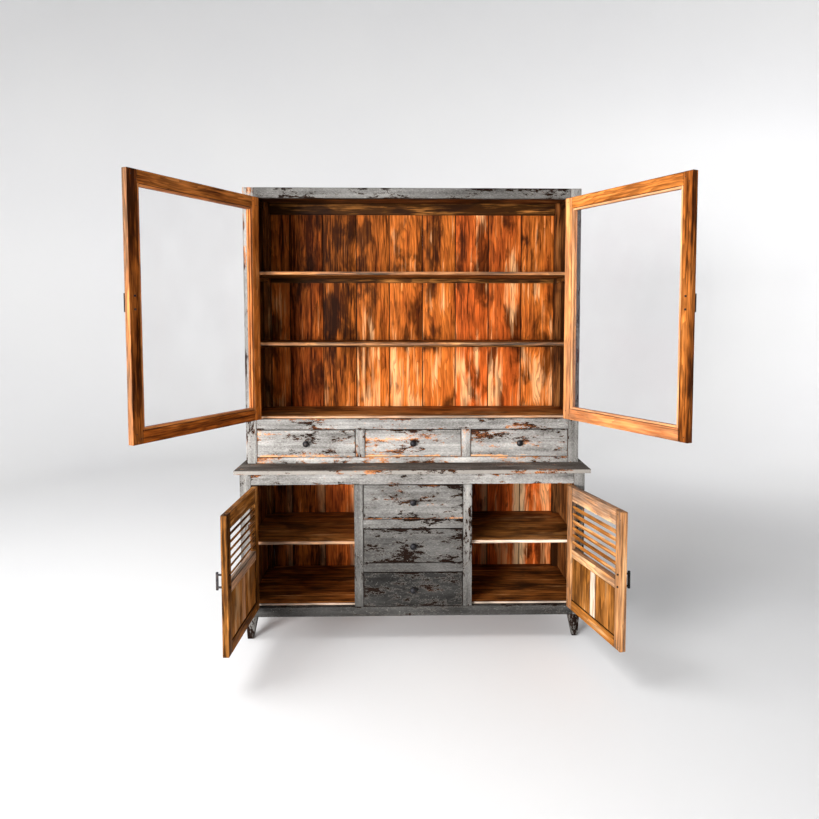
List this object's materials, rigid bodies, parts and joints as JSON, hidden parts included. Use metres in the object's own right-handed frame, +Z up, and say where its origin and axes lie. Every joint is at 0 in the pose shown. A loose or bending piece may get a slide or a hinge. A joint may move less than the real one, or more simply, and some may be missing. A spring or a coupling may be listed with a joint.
{
  "type": "buffet cabinet",
  "caption": "Tall wooden buffet cabinet: a glazed display hutch with shelves and small drawers on a deeper base with louvred cupboard doors and large centre drawers.",
  "frame": {"origin": "on the floor, at the middle of the box round the part as stored, with all four doors open as pictured", "axes": "+Z up, the front faces -Y, +X to the right as seen from the front"},
  "size_m": [2.068, 1.0188, 2],
  "materials": {
    "grey_paint": "worn matt grey paint over teak, chipped to bare wood",
    "raw_teak": "bare oiled teak, strong grain",
    "door_teak": "bare teak inside, worn grey paint outside",
    "worn_counter": "dark worn boards",
    "black_iron": "blackened, satin",
    "clear_glass": "clear"
  },
  "bodies": {
    "carcass": {"base_back_boards": "raw_teak", "base_dividers": "raw_teak", "base_face_frame": "grey_paint", "base_feet": "grey_paint", "base_floor": "raw_teak", "base_posts": "grey_paint", "base_runners_and_cleats": "raw_teak", "base_shelves": "raw_teak", "base_side_boards": "grey_paint", "base_side_rails": "grey_paint", "counter_boards": "worn_counter", "hutch_back_boards": "raw_teak", "hutch_drawer_deck": "raw_teak", "hutch_face_frame": "grey_paint", "hutch_floor": "raw_teak", "hutch_posts": "grey_paint", "hutch_rails_and_cleats": "raw_teak", "hutch_shelves": "raw_teak", "hutch_side_boards": "grey_paint", "hutch_side_rails": "grey_paint", "hutch_top": "grey_paint", "post_hinge_leaves": "black_iron"},
    "left_glazed_door": {"left_glazed_door_beads": "door_teak", "left_glazed_door_frame": "door_teak", "left_glazed_door_hinge_leaves": "black_iron", "left_glazed_door_pane": "clear_glass", "left_glazed_door_pull": "black_iron"},
    "right_glazed_door": {"right_glazed_door_beads": "door_teak", "right_glazed_door_frame": "door_teak", "right_glazed_door_hinge_leaves": "black_iron", "right_glazed_door_pane": "clear_glass", "right_glazed_door_pull": "black_iron"},
    "left_louvred_door": {"left_louvred_door_frame": "door_teak", "left_louvred_door_hinge_leaves": "black_iron", "left_louvred_door_panel_boards": "door_teak", "left_louvred_door_pull": "black_iron", "left_louvred_door_slats": "door_teak"},
    "right_louvred_door": {"right_louvred_door_frame": "door_teak", "right_louvred_door_hinge_leaves": "black_iron", "right_louvred_door_panel_boards": "door_teak", "right_louvred_door_pull": "black_iron", "right_louvred_door_slats": "door_teak"},
    "left_small_drawer": {"left_small_drawer_box": "raw_teak", "left_small_drawer_front": "grey_paint", "left_small_drawer_knob": "black_iron"},
    "middle_small_drawer": {"middle_small_drawer_box": "raw_teak", "middle_small_drawer_front": "grey_paint", "middle_small_drawer_knob": "black_iron"},
    "right_small_drawer": {"right_small_drawer_box": "raw_teak", "right_small_drawer_front": "grey_paint", "right_small_drawer_knob": "black_iron"},
    "low_large_drawer": {"low_large_drawer_box": "raw_teak", "low_large_drawer_front": "grey_paint", "low_large_drawer_knob": "black_iron"},
    "middle_large_drawer": {"middle_large_drawer_box": "raw_teak", "middle_large_drawer_front": "grey_paint", "middle_large_drawer_knob": "black_iron"},
    "high_large_drawer": {"high_large_drawer_box": "raw_teak", "high_large_drawer_front": "grey_paint", "high_large_drawer_knob": "black_iron"}
  },
  "joints": [
    {"name": "left_glazed_door_hinge", "type": "hinge", "parent": "carcass", "child": "left_glazed_door", "pos_m": [-0.705, 0.13145, 1.46], "axis": [0, 0, -1], "range_deg": [-117, 53]},
    {"name": "right_glazed_door_hinge", "type": "hinge", "parent": "carcass", "child": "right_glazed_door", "pos_m": [0.705, 0.13145, 1.46], "axis": [0, 0, 1], "range_deg": [-117, 53]},
    {"name": "left_louvred_door_hinge", "type": "hinge", "parent": "carcass", "child": "left_louvred_door", "pos_m": [-0.705, 0.00345, 0.4225], "axis": [0, 0, -1], "range_deg": [-92, 78]},
    {"name": "right_louvred_door_hinge", "type": "hinge", "parent": "carcass", "child": "right_louvred_door", "pos_m": [0.705, 0.00345, 0.4225], "axis": [0, 0, 1], "range_deg": [-104.5, 65.5]},
    {"name": "left_small_drawer_slide", "type": "slide", "parent": "carcass", "child": "left_small_drawer", "axis": [0, -1, 0], "range_m": [0, 0.22]},
    {"name": "middle_small_drawer_slide", "type": "slide", "parent": "carcass", "child": "middle_small_drawer", "axis": [0, -1, 0], "range_m": [0, 0.22]},
    {"name": "right_small_drawer_slide", "type": "slide", "parent": "carcass", "child": "right_small_drawer", "axis": [0, -1, 0], "range_m": [0, 0.22]},
    {"name": "low_large_drawer_slide", "type": "slide", "parent": "carcass", "child": "low_large_drawer", "axis": [0, -1, 0], "range_m": [0, 0.32]},
    {"name": "middle_large_drawer_slide", "type": "slide", "parent": "carcass", "child": "middle_large_drawer", "axis": [0, -1, 0], "range_m": [0, 0.32]},
    {"name": "high_large_drawer_slide", "type": "slide", "parent": "carcass", "child": "high_large_drawer", "axis": [0, -1, 0], "range_m": [0, 0.32]}
  ]
}
